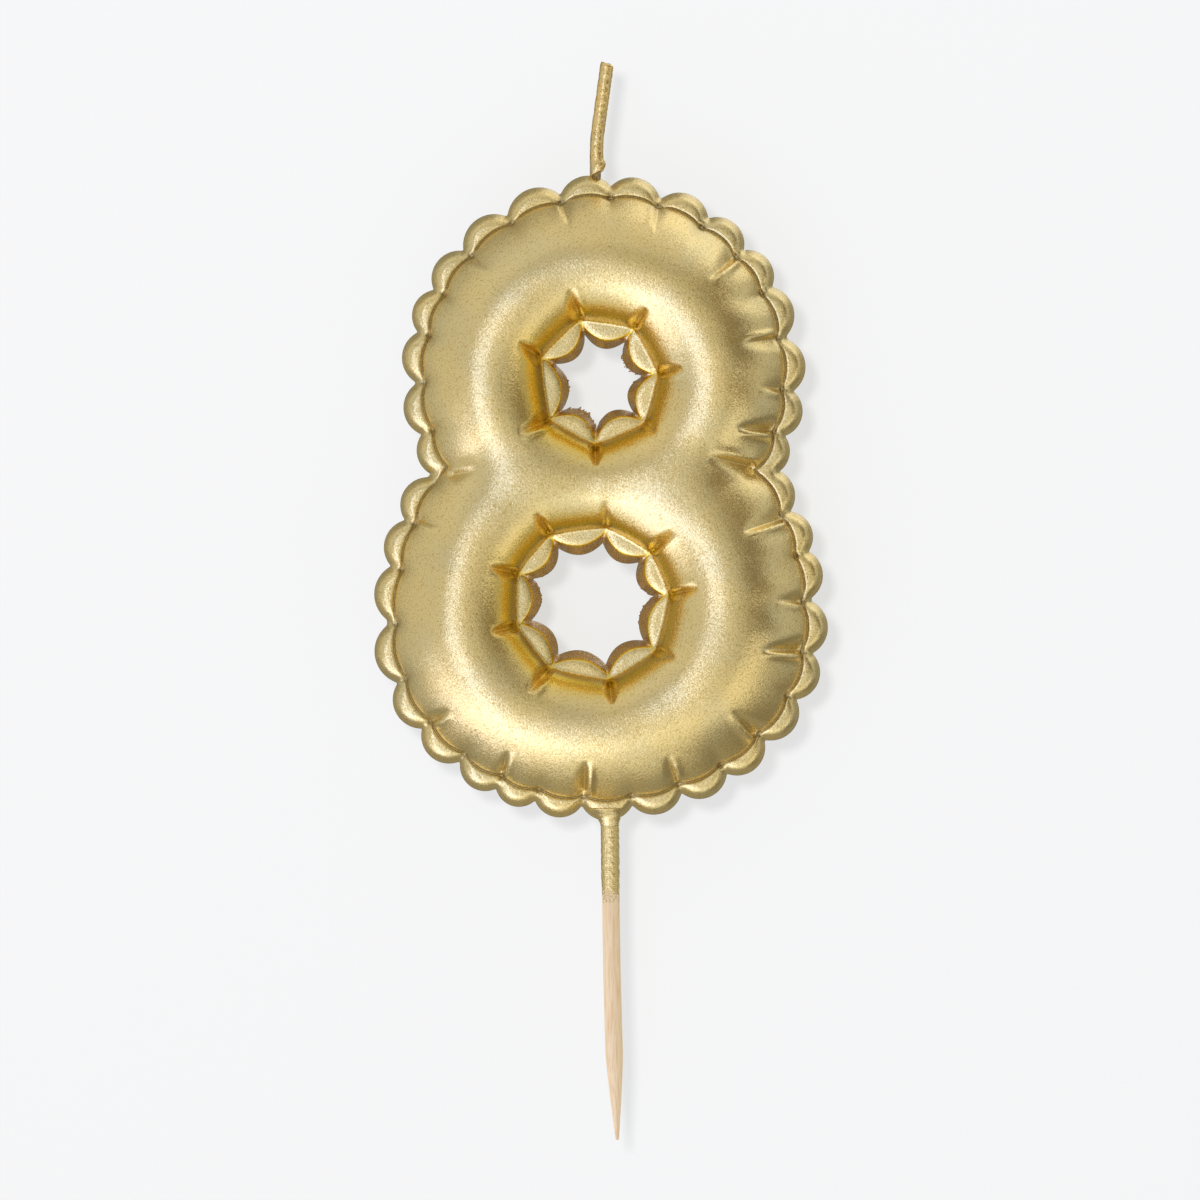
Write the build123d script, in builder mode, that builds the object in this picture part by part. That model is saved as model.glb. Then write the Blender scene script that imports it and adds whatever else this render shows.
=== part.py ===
from build123d import *

import os
from math import cos, radians, sin, sqrt

# A number-eight cake candle: a cast wax figure on a wooden pick, with a cotton wick.
#
# The figure copies an inflated foil balloon. Both faces are puffed, and a row of small
# scallops runs round the outside and round both eyes of the eight. It is cast in a two-part
# mould, so the parting plane is y = 0, and the pick and the wick lie in that plane.
# Units are millimetres. +Z points up, out of the cake, and the front faces -Y.
# The origin is on the pick's axis, where the bare pick starts, just under the wax.

# Half-thicknesses, measured from the parting plane.
CROWN = 7.6
CROWN_WIDTH = 14.5
RIM_HALF = 1.0
LOBE_EDGE = 0.7
LOBE_DOME = 1.9

# Shoulder of a scallop's dome: shares of its radius and of its half-thickness.
SHOULDER_REACH = 0.7
SHOULDER_RISE = 0.84

# Upper ring of the eight: the rim is the scallops' outer line, the seam is the puff's edge.
UPPER_CENTRE = (-0.8, 53.9)
UPPER_RIM_R = 24.3
UPPER_SEAM_R = 21.8
UPPER_EYE = (-1.3, 53.3)
UPPER_EYE_R = 7.3

# Lower ring: an egg of one half-width, with a short half-ellipse below and a tall one above.
LOWER_CENTRE = (-1.2, 23.9)
LOWER_RIM_HALF = 27.3
LOWER_RIM_DOWN = 23.2
LOWER_RIM_UP = 32.3
SEAM_INSET = 2.7
LOWER_HUB = (-1.2, 28.1)
LOWER_EYE = (-2.2, 27.1)
LOWER_EYE_R = 9.1

# Outer scallops: round lobes along the rim, in runs of even pitch.
# Each run is (first angle, last angle, pitches), in degrees about the ring's centre or hub.
LOBE_R = 3.5
NOTCH_DEPTH = 1.7
UPPER_RUNS = ((-24.5, 95.0, 8), (95.0, 129.5, 2), (129.5, 204.5, 5))
LOWER_RUNS = ((153.0, 211.0, 4), (211.0, 272.0, 5), (272.0, 390.0, 9))

# Eye scallops: lobes that point into the eyes, between evenly spaced notches.
UPPER_EYE_LOBES = 7
UPPER_EYE_NOTCH = 108.6
UPPER_EYE_LOBE_R = 3.9
UPPER_EYE_CLEAR_R = 4.4
LOWER_EYE_LOBES = 9
LOWER_EYE_NOTCH = 121.3
LOWER_EYE_LOBE_R = 3.7
LOWER_EYE_CLEAR_R = 5.8

# Wooden pick, leaning a little away from the figure's axis. Both of its ends are tapered.
PICK_R = 1.05
PICK_LEAN = 1.34
PICK_IN_WAX = 13.0
PICK_SHANK = 27.5
PICK_POINT = 10.1
PICK_BUTT_R = 0.6
PICK_TIP_R = 0.2
COLLAR_R = 1.6
COLLAR_FOOT = 0.15
COLLAR_TOP = 2.0

# Wick: a cotton cord, cast into the wax, with a lacquered wax jacket where it stands free.
CORD_R = 0.6
JACKET_R = 0.82
WICK_X = -1.6
WICK_FOOT_Z = 65.4
JACKET_FOOT_Z = 78.4
WICK_BEND_Z = 80.9
WICK_BEND_R = 20.0
WICK_LEAN = 7.8
WICK_TIP_RUN = 8.0
LIP_R = 1.05
LIP_OFFSET = 0.2
LIP_RISE = 1.5

# Lofts of the puffed rings: degrees between sections and degrees covered by one loft.
SECTION_STEP = 15
LOFT_SWEEP = 180

# Sine of the flattest ray from one eye that is still counted as pointing at the other.
FACING_SINE = 0.1


def polar(centre, radius, angle):
    """A point of the parting plane at a distance and an angle, in degrees, from a centre."""
    return (centre[0] + radius * cos(radians(angle)), centre[1] + radius * sin(radians(angle)))


def circle_reach(origin, angle, centre, radius):
    """Distance along a ray from origin to the circle round it."""
    ux, uz = cos(radians(angle)), sin(radians(angle))
    dx, dz = origin[0] - centre[0], origin[1] - centre[1]
    along = dx * ux + dz * uz
    return sqrt(along**2 - dx**2 - dz**2 + radius**2) - along


def egg_reach(origin, angle, inset):
    """Distance along a ray from origin to the lower ring's egg, drawn in by an inset."""
    ux, uz = cos(radians(angle)), sin(radians(angle))
    dx, dz = origin[0] - LOWER_CENTRE[0], origin[1] - LOWER_CENTRE[1]
    half = LOWER_RIM_HALF - inset

    def reach(height):
        a = (ux / half) ** 2 + (uz / height) ** 2
        b = dx * ux / half**2 + dz * uz / height**2
        c = (dx / half) ** 2 + (dz / height) ** 2 - 1
        return (sqrt(b * b - a * c) - b) / a

    upward = reach(LOWER_RIM_UP - inset)
    return upward if dz + upward * uz >= 0 else reach(LOWER_RIM_DOWN - inset)


def run_angles(runs):
    """Angles of the scallops in runs of even pitch, each shared end given once."""
    angles = [runs[0][0]]
    for first, last, pitches in runs:
        angles += [first + (last - first) * k / pitches for k in range(1, pitches + 1)]
    return angles


def eye_lobes(centre, reach, lobes, notch_angle):
    """Centres of the lobes that point into an eye, half-way between its notches."""
    return [polar(centre, reach, notch_angle + 360 * (k + 0.5) / lobes) for k in range(lobes)]


def upper_reach(angle):
    """How far the upper ring's puff goes: to its seam, or to the lower eye below it."""
    seam = circle_reach(UPPER_EYE, angle, UPPER_CENTRE, UPPER_SEAM_R)
    drop = UPPER_EYE[1] - LOWER_EYE[1] - LOWER_EYE_R
    downward = -sin(radians(angle))
    return min(seam, drop / downward) if downward > FACING_SINE else seam


def lower_reach(angle):
    """How far the lower ring's puff goes: to its seam, or to the upper eye above it."""
    seam = egg_reach(LOWER_EYE, angle, SEAM_INSET)
    rise = UPPER_EYE[1] - UPPER_EYE_R - LOWER_EYE[1]
    upward = sin(radians(angle))
    return min(seam, rise / upward) if upward > FACING_SINE else seam


def ring_half(eye, eye_r, reach, first_angle):
    """Half of one puffed ring: a loft through elliptical sections round its eye."""
    with BuildPart() as half:
        for angle in range(first_angle, first_angle + LOFT_SWEEP + 1, SECTION_STEP):
            width = reach(angle) - eye_r
            x, z = polar(eye, eye_r + width / 2, angle)
            outward = Vector(cos(radians(angle)), 0, sin(radians(angle)))
            tangent = outward.cross(Vector(0, -1, 0))
            with BuildSketch(Plane((x, 0, z), x_dir=outward, z_dir=tangent)):
                Ellipse(width / 2, CROWN * sqrt(width / CROWN_WIDTH))
        loft()
    return half.part


def lobe(radius):
    """One scallop: a disc with domed faces, lying in the parting plane."""
    shoulder_x = radius * SHOULDER_REACH
    shoulder_y = LOBE_DOME * SHOULDER_RISE
    with BuildPart() as disc:
        with BuildSketch(Plane.XY):
            with BuildLine():
                Line((0, LOBE_DOME), (0, -LOBE_DOME))
                ThreePointArc((0, -LOBE_DOME), (shoulder_x, -shoulder_y), (radius, -LOBE_EDGE))
                Line((radius, -LOBE_EDGE), (radius, LOBE_EDGE))
                ThreePointArc((radius, LOBE_EDGE), (shoulder_x, shoulder_y), (0, LOBE_DOME))
            make_face()
        revolve(axis=Axis.Y)
    return disc.part


def pick_plane(distance):
    """A plane square to the pick at a distance down from the wax; its z runs up the pick."""
    down = Vector(sin(radians(PICK_LEAN)), 0, -cos(radians(PICK_LEAN)))
    return Plane(down * distance, x_dir=(-down.Z, 0, down.X), z_dir=-down)


def wick_path(foot_z):
    """The wick's centreline: straight up, a gentle bend, then a straight lean to the tip."""
    lean = radians(WICK_LEAN)
    bend_x = WICK_X + WICK_BEND_R * (1 - cos(lean))
    bend_z = WICK_BEND_Z + WICK_BEND_R * sin(lean)
    tip = (bend_x + WICK_TIP_RUN * sin(lean), 0, bend_z + WICK_TIP_RUN * cos(lean))
    with BuildLine() as path:
        Line((WICK_X, 0, foot_z), (WICK_X, 0, WICK_BEND_Z))
        TangentArc((WICK_X, 0, WICK_BEND_Z), (bend_x, 0, bend_z), tangent=(0, 0, 1))
        Line((bend_x, 0, bend_z), tip)
    return path.wire()


os.makedirs("parts", exist_ok=True)

# Wooden pick: a round shank, a blunt taper inside the wax and a long point below.
with BuildPart() as wooden_pick:
    with BuildSketch(pick_plane(PICK_SHANK)):
        Circle(PICK_R)
    extrude(amount=PICK_SHANK)
    with BuildSketch(pick_plane(0)):
        Circle(PICK_R)
    with BuildSketch(pick_plane(-PICK_IN_WAX)):
        Circle(PICK_BUTT_R)
    loft(ruled=True)
    with BuildSketch(pick_plane(PICK_SHANK)):
        Circle(PICK_R)
    with BuildSketch(pick_plane(PICK_SHANK + PICK_POINT)):
        Circle(PICK_TIP_R)
    loft(ruled=True)
    chamfer(wooden_pick.edges().sort_by(Axis.Z)[0], PICK_TIP_R / 2)

wooden_pick.part.label = "wooden_pick"
export_step(wooden_pick.part, "parts/wooden_pick.step")

# Wick cord: plain cotton, from its foot deep in the wax to its cut tip.
with BuildPart() as wick_cord:
    with BuildSketch(Plane((WICK_X, 0, WICK_FOOT_Z))):
        Circle(CORD_R)
    sweep(path=wick_path(WICK_FOOT_Z))

wick_cord.part.label = "wick_cord"
export_step(wick_cord.part, "parts/wick_cord.step")

# Wick jacket: the lacquered wax round the free wick, with a bulge near its foot.
with BuildPart() as wick_jacket:
    with BuildSketch(Plane((WICK_X, 0, JACKET_FOOT_Z))):
        Circle(JACKET_R)
    sweep(path=wick_path(JACKET_FOOT_Z))
    with Locations((WICK_X + LIP_OFFSET, 0, JACKET_FOOT_Z + LIP_RISE)):
        Sphere(LIP_R)
    add(wick_cord.part, mode=Mode.SUBTRACT)

wick_jacket.part.label = "wick_jacket"
export_step(wick_jacket.part, "parts/wick_jacket.step")

# Wax body: rim plate, outer scallops, eye scallops and the two puffed rings.
outer_lobes = [polar(UPPER_CENTRE, UPPER_RIM_R - LOBE_R, angle) for angle in run_angles(UPPER_RUNS)]
outer_lobes += [
    polar(LOWER_HUB, egg_reach(LOWER_HUB, angle, 0) - LOBE_R, angle)
    for angle in run_angles(LOWER_RUNS)
]
upper_lobes = eye_lobes(
    UPPER_EYE, UPPER_EYE_CLEAR_R + UPPER_EYE_LOBE_R, UPPER_EYE_LOBES, UPPER_EYE_NOTCH
)
lower_lobes = eye_lobes(
    LOWER_EYE, LOWER_EYE_CLEAR_R + LOWER_EYE_LOBE_R, LOWER_EYE_LOBES, LOWER_EYE_NOTCH
)
lobe_sets = (
    (lobe(LOBE_R), outer_lobes),
    (lobe(UPPER_EYE_LOBE_R), upper_lobes),
    (lobe(LOWER_EYE_LOBE_R), lower_lobes),
)
ring_halves = [ring_half(UPPER_EYE, UPPER_EYE_R, upper_reach, first) for first in (-90, 90)]
ring_halves += [ring_half(LOWER_EYE, LOWER_EYE_R, lower_reach, first) for first in (-90, 90)]

with BuildPart() as wax_body:
    with BuildSketch(Plane.XZ):
        with Locations(UPPER_CENTRE):
            Circle(UPPER_RIM_R - NOTCH_DEPTH)
        with BuildLine():
            EllipticalCenterArc(
                LOWER_CENTRE,
                LOWER_RIM_HALF - NOTCH_DEPTH,
                LOWER_RIM_DOWN - NOTCH_DEPTH,
                start_angle=180,
                arc_size=180,
            )
            EllipticalCenterArc(
                LOWER_CENTRE,
                LOWER_RIM_HALF - NOTCH_DEPTH,
                LOWER_RIM_UP - NOTCH_DEPTH,
                start_angle=0,
                arc_size=180,
            )
        make_face()
        with Locations(UPPER_EYE):
            Circle(UPPER_EYE_R, mode=Mode.SUBTRACT)
        with Locations(LOWER_EYE):
            Circle(LOWER_EYE_R, mode=Mode.SUBTRACT)
    extrude(amount=RIM_HALF, both=True)
    for disc, centres in lobe_sets:
        with Locations(*[(x, 0, z) for x, z in centres]):
            add(disc)
    for half in ring_halves:
        add(half)
    with BuildSketch(pick_plane(-COLLAR_FOOT)):
        Circle(PICK_R)
    with BuildSketch(pick_plane(-COLLAR_TOP)):
        Circle(COLLAR_R)
    loft(ruled=True)
    add(wooden_pick.part, mode=Mode.SUBTRACT)
    add(wick_cord.part, mode=Mode.SUBTRACT)
    add(wick_jacket.part, mode=Mode.SUBTRACT)

wax_body.part.label = "wax_body"
export_step(wax_body.part, "parts/wax_body.step")
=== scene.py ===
"""Looks of a number-eight cake candle: a gold wax figure, a waxed wick and a wooden pick.

The wax figure is built as two height fields over one plan, one for each half of its mould.
The plan is drawn in millimetres, x to the right and z up, and y is the depth from the
parting plane. Every mesh is scaled to metres when it is made.
"""

from __future__ import annotations

import logging
import math
from collections.abc import Callable, Sequence
from dataclasses import dataclass
from enum import Enum

import bpy
import numpy as np
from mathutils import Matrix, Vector
from mathutils.geometry import delaunay_2d_cdt
from mathutils.kdtree import KDTree

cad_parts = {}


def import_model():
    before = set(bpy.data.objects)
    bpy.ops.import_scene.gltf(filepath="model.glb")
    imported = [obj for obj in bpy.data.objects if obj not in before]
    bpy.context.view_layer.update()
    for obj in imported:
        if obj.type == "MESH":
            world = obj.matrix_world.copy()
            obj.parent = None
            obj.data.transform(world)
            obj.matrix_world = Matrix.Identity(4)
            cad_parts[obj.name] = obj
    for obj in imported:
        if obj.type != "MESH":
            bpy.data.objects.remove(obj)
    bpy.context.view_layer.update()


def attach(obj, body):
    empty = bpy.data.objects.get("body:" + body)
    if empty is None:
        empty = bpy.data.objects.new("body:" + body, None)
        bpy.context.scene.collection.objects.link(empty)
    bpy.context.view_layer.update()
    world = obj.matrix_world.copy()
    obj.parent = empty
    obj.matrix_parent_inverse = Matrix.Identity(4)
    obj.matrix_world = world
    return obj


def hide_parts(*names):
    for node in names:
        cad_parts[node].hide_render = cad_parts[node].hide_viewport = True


LOG = logging.getLogger("candle")
MM = 0.001
ROOT = "root"

Point = tuple[float, float]
Colour = tuple[float, float, float]
Socket = bpy.types.NodeSocket
Inputs = dict[int | str, Socket | Vector | Colour | float]

# Least distance that is divided by, distance at which mesh points merge, least points of a loop.
LEAST = 1e-4
MESH_TOLERANCE = 1e-5
FEWEST_POINTS = 8


class Face(Enum):
    """The two halves of the casting; the value is the sign of y."""

    FRONT = -1
    BACK = 1


def bell(distance: np.ndarray, width: float | np.ndarray) -> np.ndarray:
    """A bump that is 1 where the distance is 0 and has faded out by about twice the width."""
    return np.exp(-((distance / width) ** 2))


def closed(curve: np.ndarray) -> np.ndarray:
    """Repeats a loop's first point at its end."""
    return np.vstack([curve, curve[:1]])


def resample(curve: np.ndarray, spacing: float) -> np.ndarray:
    """Spaces the points of a closed loop evenly.

    Args:
        curve: Loop of plan points, its first point not repeated.
        spacing: Wanted distance between points, in millimetres.

    Returns:
        The loop with evenly spaced points.
    """
    loop = closed(curve)
    run = np.concatenate([[0.0], np.cumsum(np.linalg.norm(np.diff(loop, axis=0), axis=1))])
    count = max(FEWEST_POINTS, int(run[-1] / spacing))
    stations = np.linspace(0.0, run[-1], count, endpoint=False)
    return np.column_stack([np.interp(stations, run, loop[:, axis]) for axis in (0, 1)])


def loop_normals(curve: np.ndarray) -> np.ndarray:
    """Unit normals of a closed loop, to the right of its direction."""
    along = np.roll(curve, -1, axis=0) - np.roll(curve, 1, axis=0)
    normal = np.column_stack([along[:, 1], -along[:, 0]])
    return normal / np.linalg.norm(normal, axis=1, keepdims=True)


class PolarLoop:
    """A closed loop that every ray from its centre crosses once."""

    def __init__(self, centre: Point, curve: np.ndarray) -> None:
        """Sorts the loop's points by their angle about the centre.

        Args:
            centre: A plan point inside the loop.
            curve: The loop's points.
        """
        self.centre = np.array(centre)
        offset = curve - self.centre
        angle = np.arctan2(offset[:, 1], offset[:, 0])
        order = np.argsort(angle)
        self.angles = angle[order]
        self.radii = np.linalg.norm(offset, axis=1)[order]

    def holds(self, points: np.ndarray) -> np.ndarray:
        """Says which plan points lie inside the loop."""
        offset = points - self.centre
        angle = np.arctan2(offset[:, 1], offset[:, 0])
        reach = np.interp(angle, self.angles, self.radii, period=2 * math.pi)
        return np.linalg.norm(offset, axis=1) < reach


class Nearest:
    """Distances from plan points to a set of closely spaced points."""

    def __init__(self, points: np.ndarray) -> None:
        """Builds the search tree over the points."""
        self.tree = KDTree(len(points))
        for index, (x, z) in enumerate(points.tolist()):
            self.tree.insert((x, z, 0.0), index)
        self.tree.balance()

    def distance(self, points: np.ndarray) -> np.ndarray:
        """Distance from each plan point to the nearest point of the set."""
        find = self.tree.find
        return np.array([find((x, z, 0.0))[2] for x, z in points.tolist()])


@dataclass(frozen=True)
class Ring:
    """One ring of the eight: its scalloped rim, an egg seen from a hub, and the puff's seam."""

    hub: Point
    centre: Point
    half: float
    down: float
    up: float
    lobe_angles: tuple[float, ...]
    lobe_fill: float = 0.53
    notch_inset: float = 1.75
    seam_inset: float = 3.0
    seam_bulge: float = 0.55
    notch_blend: float = 0.1
    lobe_view: float = 1.0

    def reach(self, angles: np.ndarray, inset: float) -> np.ndarray:
        """Distance from the hub to the rim's outer line.

        Args:
            angles: Ray angles in radians.
            inset: How far the line is drawn in, in millimetres.

        Returns:
            One distance for each ray.
        """
        ux, uz = np.cos(angles), np.sin(angles)
        dx, dz = self.hub[0] - self.centre[0], self.hub[1] - self.centre[1]
        half = self.half - inset

        def cross(height: float) -> np.ndarray:
            """Distance to the half-ellipse of one height."""
            a = (ux / half) ** 2 + (uz / height) ** 2
            b = dx * ux / half**2 + dz * uz / height**2
            c = (dx / half) ** 2 + (dz / height) ** 2 - 1.0
            return (np.sqrt(b * b - a * c) - b) / a

        upper = cross(self.up - inset)
        return np.where(dz + upper * uz >= 0.0, upper, cross(self.down - inset))

    def rim(self, angles: np.ndarray) -> np.ndarray:
        """Distance from the hub to the scalloped outline, its notches softly filled."""
        lobes = np.radians(np.array(self.lobe_angles))
        gaps = np.diff(lobes)
        pitch = np.concatenate([gaps[:1], (gaps[:-1] + gaps[1:]) / 2.0, gaps[-1:]])
        line = self.reach(lobes, 0.0)
        radius = self.lobe_fill * pitch * line
        centre = line - radius
        turn = angles[:, None] - lobes[None, :]
        turn = (turn + math.pi) % (2 * math.pi) - math.pi
        side = centre * np.sin(turn)
        hit = (np.abs(turn) < self.lobe_view) & (np.abs(side) < radius)
        root = np.sqrt(np.where(hit, radius**2 - side**2, 0.0))
        arcs = np.where(hit, centre * np.cos(turn) + root, 0.0)
        every = np.column_stack([arcs, self.reach(angles, self.notch_inset)])
        top = every.max(axis=1, keepdims=True)
        blend = np.exp((every - top) / self.notch_blend).sum(axis=1)
        return top[:, 0] + self.notch_blend * np.log(blend)

    def seam(self, angles: np.ndarray) -> np.ndarray:
        """Distance from the hub to the seam, which bulges between the notches."""
        lobes = np.array(self.lobe_angles)
        middles = (lobes[:-1] + lobes[1:]) / 2.0
        first, last = 2 * lobes[0] - middles[0], 2 * lobes[-1] - middles[-1]
        notches = np.concatenate([[first], middles, [last]])
        turn = (np.degrees(angles) - notches[0]) % 360.0 + notches[0]
        cell = np.clip(np.searchsorted(notches, turn) - 1, 0, len(lobes) - 1)
        phase = (turn - notches[cell]) / (notches[cell + 1] - notches[cell])
        bulge = np.clip(1.0 - (2.0 * phase - 1.0) ** 2, 0.0, 1.0)
        return self.reach(angles, self.seam_inset) + self.seam_bulge * bulge

    def even_seam(self, angles: np.ndarray) -> np.ndarray:
        """Distance from the hub to the seam's even middle line, without its bulges."""
        return self.reach(angles, self.seam_inset - self.seam_bulge / 2)

    def notches(self, out: float) -> np.ndarray:
        """Plan points between the lobes, at a distance out from the seam."""
        lobes = np.radians(np.array(self.lobe_angles))
        angles = (lobes[:-1] + lobes[1:]) / 2.0
        return self.trace(self.seam(angles) + out, angles)

    def trace(self, reach: np.ndarray, angles: np.ndarray) -> np.ndarray:
        """Plan points at given distances along rays from the hub."""
        rays = np.column_stack([np.cos(angles), np.sin(angles)])
        return np.array(self.hub) + reach[:, None] * rays


@dataclass(frozen=True)
class Flash:
    """Crumbs of wax left standing on the parting line, along one stretch of an eye's edge."""

    first: float
    last: float
    height: float
    seed: int
    orders: tuple[int, ...] = (23, 37, 58, 91)
    tallest: float = 1.6
    end_slope: float = 3.0

    def bite(self, angles: np.ndarray) -> np.ndarray:
        """How far the crumbs stand into the eye at angles in degrees."""
        draw = np.random.default_rng(self.seed)
        middle, half = (self.first + self.last) / 2, (self.last - self.first) / 2
        turn = (angles - middle + 180.0) % 360.0 - 180.0
        ragged = np.zeros(len(angles))
        for order in self.orders:
            ragged += np.sin(np.radians(turn) * order + draw.uniform(0.0, 2 * math.pi))
        fade = np.clip(self.end_slope * (1.0 - np.abs(turn) / half), 0.0, 1.0)
        return self.height * np.clip(ragged, 0.0, self.tallest) * fade


@dataclass(frozen=True)
class Eye:
    """An open eye: the seam's corners, and lens-shaped lobes that point into the opening."""

    corners: tuple[Point, ...]
    flashes: tuple[Flash, ...] = ()
    seam_bow: float = -0.12
    edge_corner: float = 0.62
    edge_bow: float = 1.45
    wall_corner: float = 1.9
    wall_bow: float = 1.25
    outline_steps: int = 240

    @property
    def centre(self) -> Point:
        """Middle of the corners."""
        middle = np.array(self.corners).mean(axis=0)
        return (float(middle[0]), float(middle[1]))

    def loop(self, corner_inset: float, bow: float, steps: int = 60) -> np.ndarray:
        """A loop of bows between the corners.

        Args:
            corner_inset: How far each corner is drawn towards the eye's centre.
            bow: How far each side bows towards the centre at its middle.
            steps: Points along each side.

        Returns:
            The loop's points.
        """
        middle = np.array(self.centre)
        corners = np.array(self.corners)
        spoke = corners - middle
        length = np.linalg.norm(spoke, axis=1, keepdims=True)
        corners = middle + spoke * (1.0 - corner_inset / length)
        t = np.linspace(0.0, 1.0, steps, endpoint=False)[:, None]
        sides = []
        for start, end in zip(corners, np.roll(corners, -1, axis=0)):
            chord = end - start
            inward = np.array([-chord[1], chord[0]]) / np.linalg.norm(chord)
            inward *= math.copysign(1.0, float(np.dot(middle - start, inward)))
            sides.append(start + t * chord + inward * bow * 4.0 * t * (1.0 - t))
        return np.vstack(sides)

    def outline(self) -> np.ndarray:
        """The line where the eye's two walls meet, with its crumbs of flash."""
        loop = self.loop(self.wall_corner, self.wall_bow, self.outline_steps)
        spoke = loop - np.array(self.centre)
        angles = np.degrees(np.arctan2(spoke[:, 1], spoke[:, 0]))
        bite = sum((flash.bite(angles) for flash in self.flashes), np.zeros(len(loop)))
        return loop - spoke * (bite / np.linalg.norm(spoke, axis=1))[:, None]


@dataclass(frozen=True)
class Crease:
    """A fold in the puff: a valley on one side of a line and a lip on the other.

    The line runs from start in the heading's direction. Side +1 puts the valley on its left.
    """

    start: Point
    heading: float
    length: float
    depth: float
    width: float
    lip: float = 0.0
    side: int = 1
    steep: float = 0.75
    lip_width: float = 0.45
    fade_power: float = 0.8
    run_up: float = 4.0
    tip_width: float = 0.35
    valley_power: float = 1.5
    lip_cut: float = 0.7
    row_start: float = 0.15
    row_step: float = 0.16
    row_overrun: float = 0.2
    row_offsets: tuple[float, ...] = (-0.34, -0.22, -0.11, 0.0, 0.12, 0.26)

    @property
    def axes(self) -> tuple[np.ndarray, np.ndarray]:
        """Unit vectors along the line, and across it towards the valley."""
        angle = math.radians(self.heading)
        along = np.array([math.cos(angle), math.sin(angle)])
        return along, np.array([-along[1], along[0]]) * self.side

    def local(self, points: np.ndarray) -> tuple[np.ndarray, np.ndarray]:
        """Places plan points along and across the line.

        Args:
            points: Plan points.

        Returns:
            The distance along the line as a part of its length, and the distance across it.
        """
        along, across = self.axes
        offset = points - np.array(self.start)
        return offset @ along / self.length, offset @ across

    def height(self, points: np.ndarray) -> np.ndarray:
        """Change in the puff's height at plan points."""
        run, across = self.local(points)
        fade = np.clip(1.0 - run, 0.0, 1.0) ** self.fade_power
        fade = fade * np.clip(1.0 + self.run_up * run, 0.0, 1.0)
        width = self.width * (self.tip_width + (1.0 - self.tip_width) * fade)
        span = np.where(across > 0.0, width, self.steep)
        valley = np.clip(1.0 - np.abs(across) / span, 0.0, 1.0) ** self.valley_power
        lip = self.lip * bell(across + self.steep, self.lip_width) * (1.0 - self.lip_cut * valley)
        return fade * (lip - self.depth * valley)

    def rows(self) -> np.ndarray:
        """Plan points along the fold, close enough together to hold its shape."""
        along, across = self.axes
        stations = np.arange(self.row_start, self.length + self.row_overrun, self.row_step)
        line = np.array(self.start) + stations[:, None] * along
        return np.stack([line + offset * across for offset in self.row_offsets], 1).reshape(-1, 2)


UPPER_RING = Ring(
    hub=(-0.8, 53.9),
    centre=(-0.8, 53.9),
    half=24.3,
    down=24.3,
    up=24.3,
    lobe_angles=(
        -24.5, -11, 3.5, 21, 35, 49.5, 64, 80.5,
        95, 112, 129.5, 145.5, 159.5, 173.5, 190, 204.5,
    ),
)
LOWER_RING = Ring(
    hub=(-1.2, 28.1),
    centre=(-1.2, 23.9),
    half=27.3,
    down=23.2,
    up=32.3,
    lobe_angles=(
        153, 166.5, 180.5, 197, 211, 223.5, 236.5, 247, 258.5,
        272, 285.5, 299, 311.5, 325, 337.5, 350, 365, 376.5, 390,
    ),
)
UPPER_EYE = Eye(
    corners=(
        (-3.6, 60.8), (-8.3, 56.2), (-7.3, 48.8), (-1.8, 45.8),
        (4.2, 48.4), (5.8, 54.3), (2.8, 59.8),
    ),
    flashes=(Flash(-6, 62, 0.2, 3), Flash(-148, -84, 0.22, 4), Flash(168, 204, 0.12, 5)),
)
LOWER_EYE = Eye(
    corners=(
        (-0.5, 35.9), (-7.2, 35.0), (-11.0, 30.4), (-11.2, 24.2), (-7.2, 19.0),
        (-0.1, 17.6), (5.5, 21.2), (7.1, 27.8), (4.9, 32.9),
    ),
    flashes=(Flash(-30, 20, 0.1, 6), Flash(150, 190, 0.08, 7)),
    edge_bow=1.2,
    wall_bow=1.1,
)

# Folds that start at the eyes' corners, the same on both faces.
EYE_CREASES = (
    Crease((-3.6, 60.8), 111, 3.7, 1.59, 1.72, lip=0.45, side=1),
    Crease((2.8, 59.8), 55, 2.7, 1.89, 1.32, lip=0.2, side=1),
    Crease((5.8, 54.3), 15, 2.9, 1.74, 1.32, lip=0.25, side=1),
    Crease((4.2, 48.4), 312, 1.7, 0.87, 1.19, side=-1),
    Crease((-1.8, 45.8), 273, 2.6, 2.75, 1.19, side=1),
    Crease((-7.3, 48.8), 205, 3.9, 1.74, 1.58, lip=0.5, side=-1),
    Crease((-8.3, 56.2), 148, 3.1, 1.89, 1.45, lip=0.2, side=1),
    Crease((-0.5, 35.9), 91, 3.2, 0.87, 1.19, side=1),
    Crease((4.9, 32.9), 46, 3.7, 1.74, 1.45, lip=0.5, side=1),
    Crease((7.1, 27.8), 14, 3.5, 1.74, 1.32, lip=0.2, side=-1),
    Crease((5.5, 21.2), 336, 2.3, 1.74, 1.32, lip=0.2, side=-1),
    Crease((-0.1, 17.6), 278, 2.8, 2.75, 1.19, side=1),
    Crease((-7.2, 19.0), 228, 3.8, 1.74, 1.58, lip=0.5, side=-1),
    Crease((-11.2, 24.2), 196, 3.1, 1.89, 1.45, lip=0.25, side=1),
    Crease((-11.0, 30.4), 168, 3.4, 1.89, 1.45, lip=0.25, side=1),
    Crease((-7.2, 35.0), 123, 3.0, 1.89, 1.32, lip=0.2, side=1),
)

# Folds that start where the two rings' seams meet at the waist, the same on both faces.
WAIST_CREASES = (
    Crease((17.0, 43.2), 168, 5.4, 1.5, 2.0, lip=0.8, side=1, lip_width=0.8),
    Crease((-18.8, 42.2), 8, 3.0, 0.8, 1.4, lip=0.4, side=-1, lip_width=0.7),
)


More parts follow.
